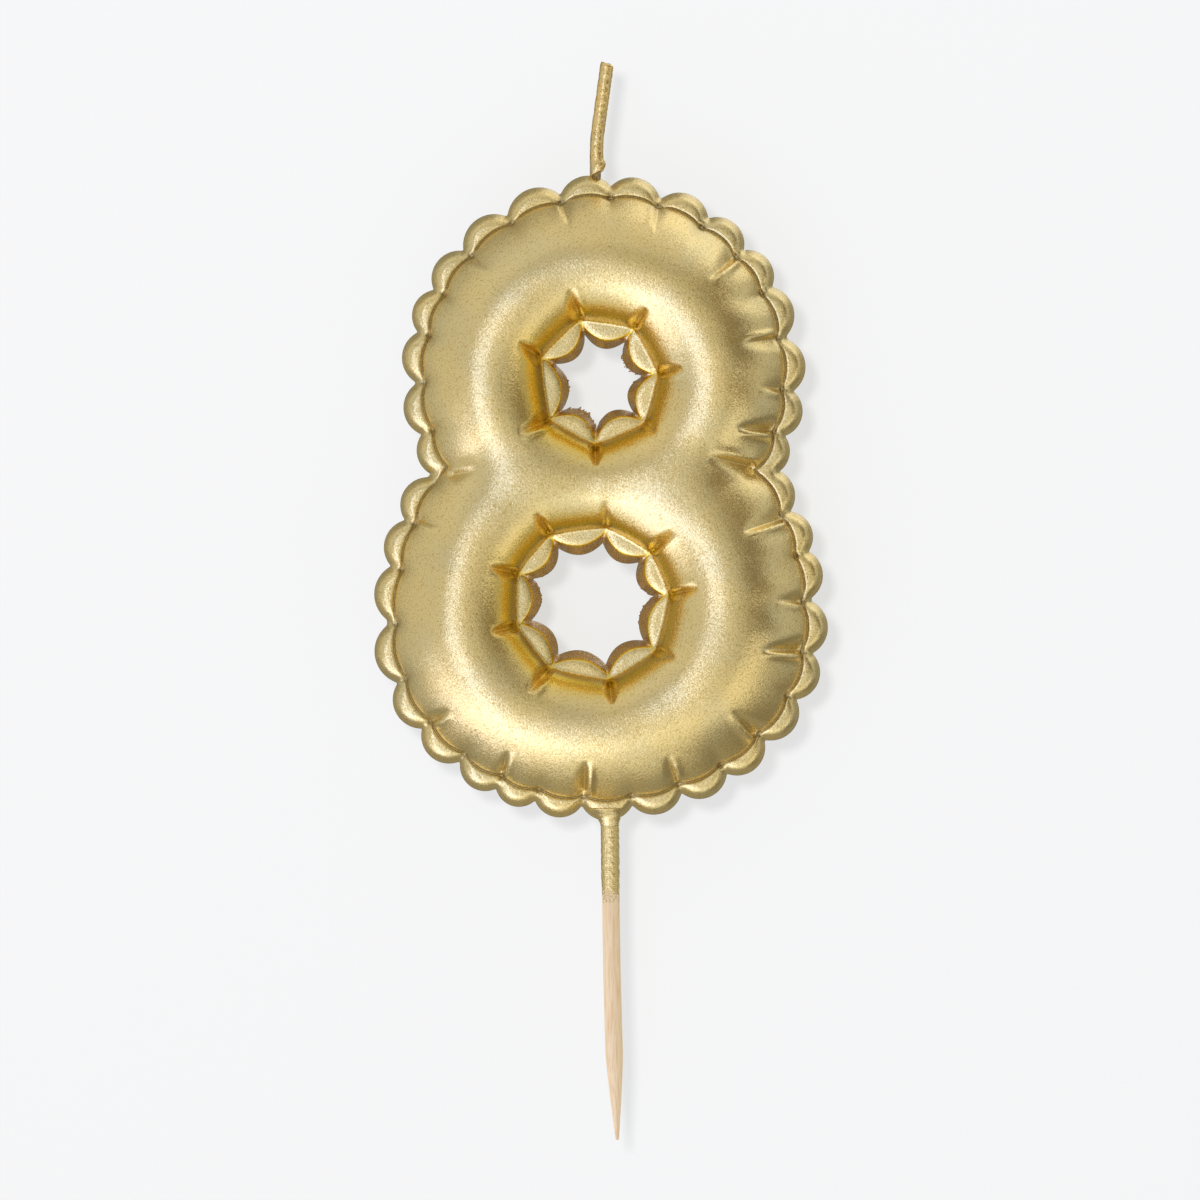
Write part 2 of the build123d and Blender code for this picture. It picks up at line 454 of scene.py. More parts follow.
def pucker(
    ring: Ring,
    angle: float,
    heading: float,
    length: float,
    depth: float,
    width: float,
    lip: float,
    side: int,
) -> Crease:
    """A broad fold that runs into the puff from a ring's seam, at an angle from its hub."""
    angles = np.radians(np.array([angle]))
    x, z = ring.trace(ring.seam(angles), angles)[0].tolist()
    return Crease((x, z), heading, length, depth, width, lip, side, steep=0.65, lip_width=0.5)


FRONT_PUCKERS = (
    pucker(UPPER_RING, 42.5, 222, 4.2, 1, 2, 0.82, -1),
    pucker(UPPER_RING, 12.5, 190, 4.2, 0.9, 2, 0.82, 1),
    pucker(UPPER_RING, -4, 172, 2.6, 0.72, 1.5, 0.68, -1),
    pucker(UPPER_RING, -17.5, 176, 4.4, 1.62, 1.88, 1.09, -1),
    pucker(UPPER_RING, 103.5, 288, 3.2, 0.46, 1.5, 0.32, 1),
    pucker(UPPER_RING, 72, 262, 3.2, 0.36, 1.5, 0.27, 1),
    pucker(UPPER_RING, 137.5, 320, 2.6, 0.36, 1.5, 0.27, 1),
    pucker(LOWER_RING, 22, 198, 5.2, 1.26, 2.25, 0.95, -1),
    pucker(LOWER_RING, 344, 178, 4.8, 1.62, 2, 1.09, -1),
    pucker(LOWER_RING, 317.5, 134, 4.2, 1.44, 1.75, 0.95, -1),
    pucker(LOWER_RING, 291.5, 108, 3.6, 1.08, 1.62, 0.82, 1),
    pucker(LOWER_RING, 265.5, 88, 4.2, 1.8, 1.88, 1.36, 1),
    pucker(LOWER_RING, 241.5, 74, 3.0, 1.26, 1.38, 0.95, 1),
    pucker(LOWER_RING, 217.5, 36, 2.6, 0.9, 1.38, 0.82, 1),
    pucker(LOWER_RING, 158, 340, 3.0, 0.62, 1.5, 0.54, 1),
    pucker(LOWER_RING, 357.5, 176, 3.2, 0.9, 1.7, 0.6, -1),
)
BACK_PUCKERS = (
    pucker(UPPER_RING, 42.5, 218, 3.4, 0.82, 1.75, 0.68, 1),
    pucker(UPPER_RING, -17.5, 170, 4.0, 1.44, 1.88, 0.95, -1),
    pucker(UPPER_RING, 87.5, 270, 3.0, 0.62, 1.62, 0.54, 1),
    pucker(UPPER_RING, 121, 304, 4.0, 1.08, 1.88, 0.82, -1),
    pucker(UPPER_RING, 152.5, 330, 3.8, 1.08, 1.75, 0.82, 1),
    pucker(UPPER_RING, 181.5, 4, 3.2, 0.9, 1.5, 0.68, 1),
    pucker(LOWER_RING, 158, 336, 4.6, 1.26, 2, 0.95, 1),
    pucker(LOWER_RING, 188.5, 8, 4.2, 1.44, 1.88, 0.95, 1),
    pucker(LOWER_RING, 217.5, 40, 3.8, 1.26, 1.62, 0.82, -1),
    pucker(LOWER_RING, 252.5, 74, 3.4, 1.08, 1.62, 0.82, 1),
    pucker(LOWER_RING, 278, 96, 4.4, 1.62, 1.88, 1.09, -1),
    pucker(LOWER_RING, 331.5, 150, 3.6, 0.9, 1.62, 0.68, 1),
)


@dataclass(frozen=True)
class Swell:
    """Slow uneven waves of the puff, and a ruffle beside the outer seam on the right side."""

    height: float = 0.07
    pitch: Point = (0.41, 0.33)
    phase: Point = (1.3, 0.7)
    ruffle: float = 2.5
    ruffle_pitch: float = 0.95
    drift: float = 2.0
    drift_pitch: float = 0.21
    full_x: float = 12.0
    reach: float = 4.5

    def rise(self, points: np.ndarray, rim_gap: np.ndarray, face: Face) -> np.ndarray:
        """Height that the waves add.

        Args:
            points: Plan points.
            rim_gap: Their distances from the outer seam.
            face: Which half of the casting.

        Returns:
            One height for each point.
        """
        x, z = points[:, 0], points[:, 1]
        waves = np.sin(x * self.pitch[0] + self.phase[0] * face.value)
        waves = waves * np.sin(z * self.pitch[1] + self.phase[1])
        ruffle = np.sin(self.ruffle_pitch * z + self.drift * np.sin(self.drift_pitch * z))
        ruffle = ruffle * np.clip(x / self.full_x, 0.0, 1.0) * bell(rim_gap, self.reach)
        return self.height * (waves + self.ruffle * ruffle)


@dataclass(frozen=True)
class RecessShade:
    """Painted shade: darker colour round the eyes, in the folds and on the lobes' edges, where the
    recesses fall into shade.
    """

    reach: float = 1.75
    # The painted shade reaches further on the side of each eye that lies towards the lower left.
    slant: float = 0.75
    slant_angle: float = 195.0
    eye_reach: float = 14.0
    fold_share: float = 0.6
    fold_reach: float = 3.0
    # Strength of a darker painted shadow just off the eyes' seams and along the lobes' edges.
    seam: float = 0.8
    seam_gap: float = 0.3
    seam_width: float = 0.5
    edge: float = 1.3
    edge_width: float = 0.12

    def amount(
        self,
        points: np.ndarray,
        in_puff: np.ndarray,
        eye_gap: np.ndarray,
        edge_gap: np.ndarray,
        folds: np.ndarray,
    ) -> np.ndarray:
        """How strong the painted shade is.

        Args:
            points: Plan points.
            in_puff: Which of them lie on the puff.
            eye_gap: Their distances from the eyes' seams.
            edge_gap: Their distances from the edges of the eyes' lobes.
            folds: Height that the folds add there.

        Returns:
            One amount for each point, from 0 to about 2.
        """
        # Painted shade round the eyes' seams, in the folds' valleys and along the lobes' edges.
        reach = np.full(len(points), self.reach)
        for eye in (UPPER_EYE, LOWER_EYE):
            offset = points - np.array(eye.centre)
            turn = np.arctan2(offset[:, 1], offset[:, 0]) - math.radians(self.slant_angle)
            near = np.linalg.norm(offset, axis=1) < self.eye_reach
            reach[near] += self.slant * np.cos(turn)[near]
        painted_shade = in_puff * bell(eye_gap, reach)
        fold_shade = np.clip(-folds * self.fold_share, 0.0, 1.0) * np.exp(-eye_gap / self.fold_reach)
        painted_shade = np.maximum(painted_shade, fold_shade)
        painted_shade += self.seam * in_puff * bell(eye_gap - self.seam_gap, self.seam_width)
        return np.maximum(painted_shade, self.edge * bell(edge_gap, self.edge_width))


@dataclass
class WaxFigure:
    """The cast wax eight: scalloped rim, lobed eyes and the puff with its folds."""

    crown: float = 8.1
    flange_edge: float = 1.3
    flange_dome: float = 0.28
    dome_reach: float = 0.9
    eye_dome: float = 0.12
    dome_blend: float = 7.0
    flange_step: float = 0.1
    rim_wall: float = 0.55
    least_wall: float = 0.15
    eye_edge_soft: float = 0.15
    rim_edge_soft: float = 0.6
    seam_groove: float = 0.22
    groove_width: float = 0.16
    groove_shade: float = 0.75
    eye_ridge: float = 0.16
    ridge_width: float = 0.13
    pit_depth: float = 0.35
    pit_width: float = 0.38
    pit_out: float = 0.3
    puff_power: float = 0.86
    eye_rise: float = 0.9
    eye_rise_reach: float = 0.6
    outer_share: float = 0.66
    bulge_fade: float = 1.2
    petal_fade: float = 1.3
    fold_hold: float = 0.5
    fold_floor: float = -0.2
    shaded_wall_width: float = 0.2
    swell: Swell = Swell()
    recess_shade: RecessShade = RecessShade()
    rays: int = 7200
    search_step: float = 0.025
    outline_step: float = 0.16
    lattice_step: float = 0.3
    edge_rows: tuple[float, ...] = (0.08, 0.19, 0.34)
    seam_rows: tuple[float, ...] = (0.07, 0.17, 0.31, 0.48)
    spacings: tuple[float, ...] = (0.075, 0.075, 0.065, 0.065, 0.07, 0.08, 0.1, 0.2)
    corner_crowding: float = 0.93

    def __post_init__(self) -> None:
        """Draws the plan's loops and the searches over them."""
        self.outline = self.figure_loop(Ring.rim)
        self.seam = self.figure_loop(Ring.seam)
        even_seam = self.figure_loop(Ring.even_seam)
        self.eyes = (UPPER_EYE, LOWER_EYE)
        self.eye_outlines = [self.fit(eye.outline()) for eye in self.eyes]
        self.eye_edges = [self.fit(eye.loop(eye.edge_corner, eye.edge_bow)) for eye in self.eyes]
        self.eye_seams = [self.fit(eye.loop(0.0, eye.seam_bow)) for eye in self.eyes]
        lines = (Ring.rim, Ring.seam, Ring.even_seam)
        self.outer_holds = [self.ring_holds(line) for line in lines]
        self.eye_holds = [
            [PolarLoop(eye.centre, loop) for eye, loop in zip(self.eyes, loops)]
            for loops in (self.eye_outlines, self.eye_edges, self.eye_seams)
        ]
        self.near_outline = self.search([self.outline])
        self.near_even_seam = self.search([even_seam])
        self.near_seams = [self.search([loop]) for loop in (self.seam, *self.eye_seams)]
        self.near_eye_outline = self.search(self.eye_outlines)
        self.near_eye_edge = self.search(self.eye_edges)
        pits = [ring.notches(self.pit_out) for ring in (UPPER_RING, LOWER_RING)]
        self.near_pits = Nearest(np.vstack(pits))

    def fit(self, loop: np.ndarray) -> np.ndarray:
        """Spaces a loop's points for the mesh."""
        return resample(loop, self.outline_step)

    def search(self, loops: list[np.ndarray]) -> Nearest:
        """A search over points that lie close together along some loops."""
        return Nearest(np.vstack([resample(loop, self.search_step) for loop in loops]))

    def ring_holds(self, line: Callable[[Ring, np.ndarray], np.ndarray]) -> list[PolarLoop]:
        """Inside tests of one line, such as the rim, for both rings."""
        angles = np.linspace(-math.pi, math.pi, self.rays, endpoint=False)
        return [
            PolarLoop(ring.hub, ring.trace(line(ring, angles), angles))
            for ring in (UPPER_RING, LOWER_RING)
        ]

    def figure_loop(self, line: Callable[[Ring, np.ndarray], np.ndarray]) -> np.ndarray:
        """Joins one line of both rings into a loop round the eight.

        Args:
            line: The ring method that gives the line's distance from its hub.

        Returns:
            The loop's points, evenly spaced, anticlockwise.
        """
        angles = np.linspace(-math.pi / 2, 1.5 * math.pi, 2 * self.rays, endpoint=False)
        upper = UPPER_RING.trace(line(UPPER_RING, angles), angles)
        lower_angles = angles + math.pi
        lower = LOWER_RING.trace(line(LOWER_RING, lower_angles), lower_angles)
        upper_holds = PolarLoop(UPPER_RING.hub, upper)
        lower_holds = PolarLoop(LOWER_RING.hub, lower)
        upper = upper[~lower_holds.holds(upper)]
        lower = lower[~upper_holds.holds(lower)]
        return self.fit(np.vstack([upper, lower]))

    def inside(self, holds: list[PolarLoop], points: np.ndarray) -> np.ndarray:
        """Says which plan points lie inside any of some loops."""
        return np.any([loop.holds(points) for loop in holds], axis=0)

    def flange(self, points: np.ndarray) -> np.ndarray:
        """Height of the rim and the eye lobes over the parting plane.

        Args:
            points: Plan points.

        Returns:
            One height for each point, zero on the outlines.
        """
        outer_depth = self.near_outline.distance(points)
        eye_depth = self.near_eye_outline.distance(points)
        edge_gap = self.near_eye_edge.distance(points)
        in_wall = self.inside(self.eye_holds[1], points)
        wall_width = eye_depth + np.where(in_wall, edge_gap, -edge_gap)
        wall_width = np.maximum(wall_width, self.least_wall)
        by_eye = eye_depth < outer_depth
        part = np.where(by_eye, eye_depth / wall_width, outer_depth / self.rim_wall)
        wall = part * self.flange_edge
        past_eye_edge = np.where(in_wall, 0.0, edge_gap)
        past_edge = np.where(by_eye, past_eye_edge, outer_depth - self.rim_wall)
        rise = np.sin(0.5 * math.pi * np.clip(past_edge / self.dome_reach, 0.0, 1.0))
        share = np.clip(0.5 + (eye_depth - outer_depth) / self.dome_blend, 0.0, 1.0)
        dome = self.eye_dome + (self.flange_dome - self.eye_dome) * share
        top = self.flange_edge + self.flange_step + dome * rise
        soft = np.where(by_eye, self.eye_edge_soft, self.rim_edge_soft)
        return 0.5 * (wall + top - np.sqrt((wall - top) ** 2 + soft**2))

    def puff(self, points: np.ndarray) -> np.ndarray:
        """Height of the smooth puff over the rim: full between the seams, zero on them."""
        gaps = [np.maximum(near.distance(points), LEAST) for near in self.near_seams]
        even = self.near_even_seam.distance(points)
        even = np.where(self.inside(self.outer_holds[2], points), even, -even)
        outer = even + (gaps[0] - even) * np.exp(-gaps[0] / self.bulge_fade)
        room = 1.0 / np.maximum(outer * self.outer_share, LEAST)
        for eye, hold, gap in zip(self.eyes, self.eye_holds[2], gaps[1:]):
            round_gap = np.linalg.norm(points - np.array(eye.centre), axis=1) - hold.radii.mean()
            even_gap = round_gap + (gap - round_gap) * np.exp(-gap / self.petal_fade)
            lift = self.eye_rise * (1.0 - np.exp(-gap / self.eye_rise_reach))
            room += 1.0 / np.maximum(even_gap + lift, LEAST)
        rise = (room.min() / room) ** self.puff_power
        return (self.crown - self.flange_edge - self.flange_dome) * rise

    def heights(self, points: np.ndarray, face: Face) -> tuple[np.ndarray, np.ndarray]:
        """Depth of the casting's surface from the parting plane.

        Args:
            points: Plan points.
            face: Which half of the casting.

        Returns:
            The height of each point, and for each point the painted shade in the recesses,
            the eye walls' thin lacquer with painted shade, and the painted seam shadow.
        """
        in_puff = self.inside(self.outer_holds[1], points)
        in_puff = in_puff & ~self.inside(self.eye_holds[2], points)
        rim_gap, *eye_gaps = [near.distance(points) for near in self.near_seams]
        eye_gap = np.min(eye_gaps, axis=0)
        edge_gap = self.near_eye_edge.distance(points)
        puckers = FRONT_PUCKERS if face is Face.FRONT else BACK_PUCKERS
        creases = (*EYE_CREASES, *WAIST_CREASES, *puckers)
        folds = sum(crease.height(points) for crease in creases)
        hold = np.clip(np.minimum(rim_gap, eye_gap) / self.fold_hold, 0.0, 1.0) * in_puff
        puff = np.where(in_puff, self.puff(points), 0.0)
        puff += hold * (folds + self.swell.rise(points, rim_gap, face))
        pit = bell(self.near_pits.distance(points), self.pit_width)
        groove = bell(rim_gap, self.groove_width)
        height = np.maximum(self.flange(points), 0.0) + np.maximum(puff, self.fold_floor)
        height -= self.pit_depth * pit
        height -= self.seam_groove * groove
        height += self.eye_ridge * bell(eye_gap, self.ridge_width)
        # Painted shade in the recesses: round the eyes, in the folds and on the lobes' edges.
        painted_shade = self.recess_shade.amount(points, in_puff, eye_gap, edge_gap, folds)
        # The eye walls: thinner lacquer, and painted shade for the little light inside the eyes.
        thin_and_shaded_wall = np.clip(edge_gap / self.shaded_wall_width, 0.0, 1.0)
        thin_and_shaded_wall = thin_and_shaded_wall * self.inside(self.eye_holds[1], points)
        # Painted shadow along the outer seam's groove and in the notch pits.
        painted_seam_shade = np.maximum(self.groove_shade * groove, pit)
        return height, np.column_stack([painted_shade, thin_and_shaded_wall, painted_seam_shade])

    def rows_beside(self, loops: list[np.ndarray], offsets: tuple[float, ...]) -> np.ndarray:
        """Points in rows on both sides of some loops, without those that crowd in a corner.

        Args:
            loops: The loops' points.
            offsets: Distances of the rows from their loop.

        Returns:
            The rows' points.
        """
        rows = []
        for loop in loops:
            normal = loop_normals(loop)
            near = self.search([loop])
            for offset in offsets:
                for side in (-offset, offset):
                    row = loop + normal * side
                    rows.append(row[near.distance(row) > self.corner_crowding * offset])
        return np.vstack(rows)

    def plan_points(self) -> tuple[np.ndarray, list[np.ndarray]]:
        """Every free point of the plan.

        Each stage's points keep its spacing from the stages before it.

        Returns:
            The free points, and the loops that the mesh follows.
        """
        loops = [self.outline, *self.eye_outlines, self.seam, *self.eye_seams, *self.eye_edges]
        kept = np.vstack(loops)
        folds = (*EYE_CREASES, *WAIST_CREASES)
        puckers = (*FRONT_PUCKERS, *BACK_PUCKERS)
        stages = [
            self.rows_beside([self.outline], self.edge_rows),
            self.rows_beside(self.eye_outlines, self.edge_rows),
            self.rows_beside([self.seam], self.seam_rows),
            self.rows_beside(self.eye_seams, self.seam_rows),
            self.rows_beside(self.eye_edges, self.edge_rows[:2]),
            np.vstack([fold.rows() for fold in folds]),
            np.vstack([fold.rows() for fold in puckers]),
            self.lattice(),
        ]
        free = []
        for points, spacing in zip(stages, self.spacings):
            points = points[self.in_wax(points)]
            points = points[Nearest(kept).distance(points) > spacing]
            free.append(points)
            kept = np.vstack([kept, points])
        return np.vstack(free), loops

    def lattice(self) -> np.ndarray:
        """A triangular lattice over the whole figure."""
        low, high = self.outline.min(axis=0), self.outline.max(axis=0)
        row_step = self.lattice_step * math.sqrt(3.0) / 2.0
        rows = np.arange(low[1], high[1], row_step)
        columns = np.arange(low[0], high[0], self.lattice_step)
        x, z = np.meshgrid(columns, rows)
        x = x + (np.arange(len(rows)) % 2)[:, None] * self.lattice_step / 2.0
        return np.column_stack([x.ravel(), z.ravel()])

    def in_wax(self, points: np.ndarray) -> np.ndarray:
        """Says which plan points lie on the wax, between the outline and the eyes."""
        in_figure = self.inside(self.outer_holds[0], points)
        return in_figure & ~self.inside(self.eye_holds[0], points)

    def triangulate(self) -> tuple[np.ndarray, np.ndarray, int]:
        """Covers the plan with triangles that follow every loop.

        Returns:
            The plan points, the triangles, and how many points lie on the outlines: they
            come first.
        """
        free, loops = self.plan_points()
        points = np.vstack([*loops, free])
        edges = []
        start = 0
        for loop in loops:
            indices = range(start, start + len(loop))
            edges += [(i, start + (i - start + 1) % len(loop)) for i in indices]
            start += len(loop)
        places = [Vector(point) for point in points.tolist()]
        result = delaunay_2d_cdt(places, edges, [], 0, MESH_TOLERANCE, True)
        placed = np.array([tuple(v) for v in result[0]])
        triangles = np.array([face for face in result[2] if len(face) == 3])
        middle = placed[triangles].mean(axis=1)
        triangles = triangles[self.in_wax(middle)]
        on_outline = sum(len(loop) for loop in loops[: 1 + len(self.eyes)])
        rim = np.zeros(len(placed), dtype=bool)
        for index, sources in enumerate(result[3]):
            rim[index] = any(source < on_outline for source in sources)
        order = np.concatenate([np.flatnonzero(rim), np.flatnonzero(~rim)])
        place = np.empty(len(order), dtype=int)
        place[order] = np.arange(len(order))
        return placed[order], place[triangles], int(rim.sum())

    def build(self) -> bpy.types.Object:
        """Makes the closed mesh of the figure.

        Returns:
            The figure's object.
        """
        plan, triangles, rim_count = self.triangulate()
        points, faces, coats = [], [], []
        for face in Face:
            height, coat = self.heights(plan, face)
            height[:rim_count] = 0.0
            side = np.column_stack([plan[:, 0], face.value * height, plan[:, 1]])
            if face is Face.FRONT:
                points.append(side)
                coats.append(coat)
                faces.append(triangles)
            else:
                points.append(side[rim_count:])
                coats.append(coat[rim_count:])
                shift = np.where(triangles < rim_count, 0, len(plan) - rim_count)
                faces.append((triangles + shift)[:, ::-1])
        figure = mesh_object("wax_figure", np.vstack(points), np.vstack(faces).tolist())
        # The painted shade, the eye walls' shaded thin lacquer and the painted seam shadow, kept on
        # the points for the material.
        for name, values in zip(("painted_shade", "thin_and_shaded_wall", "painted_seam_shade"), np.vstack(coats).T.astype(np.float32)):
            attribute = figure.data.attributes.new(name, "FLOAT", "POINT")
            attribute.data.foreach_set("value", np.ascontiguousarray(values))
        return figure


def mesh_object(
    name: str, points: np.ndarray, faces: Sequence[Sequence[int]]
) -> bpy.types.Object:
    """Makes a smooth-shaded object from points in millimetres.

    Args:
        name: The object's name.
        points: Its vertices.
        faces: Vertex indices of each face.

    Returns:
        The new object, linked to the scene.
    """
    mesh = bpy.data.meshes.new(name)
    mesh.from_pydata((points * MM).tolist(), [], faces)
    mesh.validate()
    mesh.polygons.foreach_set("use_smooth", np.ones(len(mesh.polygons), dtype=bool))
    mesh.update()
    item = bpy.data.objects.new(name, mesh)
    bpy.context.scene.collection.objects.link(item)
    return item


class Bench:
    """A node tree, with short ways to add nodes and join them up."""

    def __init__(self, tree: bpy.types.NodeTree) -> None:
        """Works on a tree."""
        self.tree = tree

    def fill(self, node: bpy.types.Node, inputs: Inputs) -> None:
        """Feeds a node's inputs, by name or number, with values and other nodes' outputs."""
        for key, value in inputs.items():
            socket = node.inputs[key]
            if isinstance(value, Socket):
                self.tree.links.new(value, socket)
            else:
                socket.default_value = (*value, 1.0) if socket.type == "RGBA" else value

    def add(self, kind: str, inputs: Inputs | None = None, **settings: str | bool) -> bpy.types.Node:
        """Adds a node.

        Args:
            kind: Its type, without the words that all shader nodes' types start with.
            inputs: What its inputs are fed with.
            **settings: Its own settings, such as its operation.

        Returns:
            The new node.
        """
        node = self.tree.nodes.new(f"ShaderNode{kind}")
        for name, value in settings.items():
            setattr(node, name, value)
        self.fill(node, inputs or {})
        return node

    def noise(self, place: Socket, scale: float, detail: float) -> Socket:
        """A noise texture; its scale is for each metre."""
        inputs = {"Vector": place, "Scale": scale, "Detail": detail}
        return self.add("TexNoise", inputs).outputs["Fac"]

    def ramp(
        self, value: Socket, span: Point, ends: Point = (0.0, 1.0), **settings: str | bool
    ) -> Socket:
        """Stretches a value, so that what lay in the span lies between the ends."""
        inputs = {"Value": value, "From Min": span[0], "From Max": span[1]}
        inputs |= {"To Min": ends[0], "To Max": ends[1]}
        return self.add("MapRange", inputs, **settings).outputs["Result"]

    def mix(self, factor: Socket, first: Socket | Colour, second: Socket | Colour) -> Socket:
        """Mixes two colours."""
        inputs = {"Factor": factor, "A": first, "B": second}
        return self.add("Mix", inputs, data_type="RGBA").outputs["Result"]

    def vector(self, operation: str, *terms: Socket | Colour, result: str = "Vector") -> Socket:
        """Works out a sum of vectors."""
        node = self.add("VectorMath", dict(enumerate(terms)), operation=operation)
        return node.outputs[result]

    def maths(self, operation: str, *terms: Socket) -> Socket:
        """Works out a sum of numbers."""
        return self.add("Math", dict(enumerate(terms)), operation=operation).outputs["Value"]

    def end(self, output: str, factor: Socket, first: Socket, second: Socket) -> None:
        """Ends the tree in a mix of two shaders."""
        mix = self.add("MixShader", {"Fac": factor, 1: first, 2: second})
        self.fill(self.tree.nodes[output], {"Surface": mix.outputs["Shader"]})


def principled(name: str) -> tuple[bpy.types.Material, Bench, bpy.types.Node]:
    """A new node material.

    Args:
        name: The material's name.

    Returns:
        The material, its node tree and its Principled shader node.
    """
    material = bpy.data.materials.new(name)
    material.use_nodes = True
    return material, Bench(material.node_tree), material.node_tree.nodes["Principled BSDF"]


@dataclass(frozen=True)
class GoldLacquer:
    """Satin metallic gold lacquer with a fine pebbled grain and tilted flakes, and painted shade
    where the figure's point attributes ask for it.
    """

    name: str = "gold_lacquer"
    base: Colour = (0.9, 0.7, 0.3)
    olive: Colour = (0.82, 0.67, 0.32)
    pit: Colour = (0.64, 0.45, 0.14)
    # Painted shade colours: amber in the recesses, and dark for the strongest painted shadow along
    # seams and lobe edges.
    painted_shade_amber: Colour = (0.87, 0.59, 0.04)
    dark: Colour = (0.44, 0.28, 0.03)
    shade: Colour = (0.3, 0.22, 0.09)
    # Eye walls' colour: thinner lacquer, and painted shade.
    bare: Colour = (0.66, 0.5, 0.33)
    cloud: float = 140.0
    detail: float = 2.0
    olive_span: Point = (0.4, 0.62)
    pit_span: Point = (0.3, 0.46)
    roughness: float = 0.25
    dull: float = 0.12
    polish: float = 0.06
    grain: float = 4600.0
    grain_height: float = 0.03
    flake: float = 8000.0
    flake_tilt: float = 0.13

    def material(self) -> bpy.types.Material:
        """Builds the node material."""
        material, bench, shader = principled(self.name)
        place = bench.add("TexCoord").outputs["Object"]
        grain = bench.noise(place, self.grain, self.detail)
        cloud = bench.noise(place, self.cloud, self.detail)
        tone = bench.mix(bench.ramp(cloud, self.olive_span), self.base, self.olive)
        tone = bench.mix(bench.ramp(grain, self.pit_span), self.pit, tone)
        # Painted shade, the eye walls' shaded thin lacquer and the painted seam shadow, read from
        # the figure's attributes.
        coats = (
            ("painted_shade", self.painted_shade_amber, 0.0),
            ("painted_shade", self.dark, 1.0),
            ("thin_and_shaded_wall", self.bare, 0.0),
            ("painted_seam_shade", self.shade, 0.0),
        )
        for name, colour, low in coats:
            amount = bench.add("Attribute", attribute_name=name).outputs["Fac"]
            tone = bench.mix(bench.ramp(amount, (low, low + 1.0)), tone, colour)
        ends = (self.roughness + self.dull, self.roughness - self.polish)
        bump = bench.add("Bump", {"Distance": self.grain_height * MM, "Height": grain})
        flake = bench.add("TexVoronoi", {"Scale": self.flake, "Vector": place})
        most, mean = (self.flake_tilt,) * 3, (self.flake_tilt / 2,) * 3
        tilt = bench.vector("MULTIPLY_ADD", flake.outputs["Color"], most, bump.outputs["Normal"])
        normal = bench.vector("NORMALIZE", bench.vector("SUBTRACT", tilt, mean))
        rough = bench.ramp(grain, (0.0, 1.0), ends)
        finish = {"Metallic": 1.0, "Base Color": tone, "Roughness": rough, "Normal": normal}
        bench.fill(shader, finish)
        return material


WICK_LACQUER = GoldLacquer(
    name="wick_lacquer",
    base=(1.0, 0.71, 0.26),
    olive=(0.78, 0.62, 0.3),
    pit=(0.66, 0.4, 0.09),
    roughness=0.2,
    grain=3600.0,
    grain_height=0.06,
)


@dataclass(frozen=True)
class Wood:
    """Pale birch with lengthwise grain, painted with gold lacquer above a ragged edge."""

    gold: GoldLacquer
    name: str = "pick_wood"
    pale: Colour = (1.0, 0.77, 0.46)
    dark: Colour = (0.84, 0.54, 0.25)
    stretch: tuple[float, float, float] = (1.0, 1.0, 0.06)
    fibre: float = 5200.0
    fibre_detail: float = 4.0
    fibre_span: Point = (0.42, 0.78)
    fleck: float = 4200.0
    fleck_detail: float = 3.0
    paint_edge: float = -8.2
    paint_blur: float = 3.2
    paint_span: Point = (0.95, 1.07)
    roughness: Point = (0.62, 0.24)
    bump: float = 0.09

    def material(self) -> bpy.types.Material:
        """Builds the node material."""
        material, bench, shader = principled(self.name)
        place = bench.add("TexCoord").outputs["Object"]
        long = bench.add("Mapping", {"Vector": place, "Scale": self.stretch}).outputs["Vector"]
        fibre = bench.noise(long, self.fibre, self.fibre_detail)
        wood = bench.mix(bench.ramp(fibre, self.fibre_span), self.pale, self.dark)
        fleck = bench.noise(place, self.fleck, self.fleck_detail)
        height = bench.add("SeparateXYZ", {"Vector": place}).outputs["Z"]
        low, high = self.paint_edge - self.paint_blur, self.paint_edge + self.paint_blur
        above = bench.ramp(height, (low * MM, high * MM), clamp=False)
        painted = bench.ramp(bench.maths("ADD", above, fleck), self.paint_span)
        crumple = bench.maths("MULTIPLY_ADD", fleck, painted, fibre)
        bump = bench.add("Bump", {"Distance": self.bump * MM, "Height": crumple})
        finish = {
            "Base Color": bench.mix(painted, wood, self.gold.base),
            "Metallic": painted,
            "Roughness": bench.ramp(painted, (0.0, 1.0), self.roughness),
            "Normal": bump.outputs["Normal"],
        }
        bench.fill(shader, finish)
        return material


@dataclass(frozen=True)
class WickCotton:
    """Twisted cotton, seen at the cut tip and in the gap at the root."""

    name: str = "wick_cotton"
    pale: Colour = (0.5, 0.36, 0.15)
    dark: Colour = (0.16, 0.09, 0.02)
    fibre: float = 6000.0
    detail: float = 2.0
    span: Point = (0.35, 0.65)
    roughness: float = 0.85

    def material(self) -> bpy.types.Material:
        """Builds the node material."""
        material, bench, shader = principled(self.name)
        place = bench.add("TexCoord").outputs["Object"]
        fibre = bench.ramp(bench.noise(place, self.fibre, self.detail), self.span)
        tone = bench.mix(fibre, self.dark, self.pale)
        bench.fill(shader, {"Base Color": tone, "Roughness": self.roughness})
        return material


def turn_steps(sides: int) -> np.ndarray:
    """Even steps of one whole turn, in radians."""
    return np.linspace(0.0, 2 * math.pi, sides, endpoint=False)


def upright(plan: np.ndarray) -> np.ndarray:
    """Stands plan points in the parting plane."""
    return np.column_stack([plan[:, 0], np.zeros(len(plan)), plan[:, 1]])


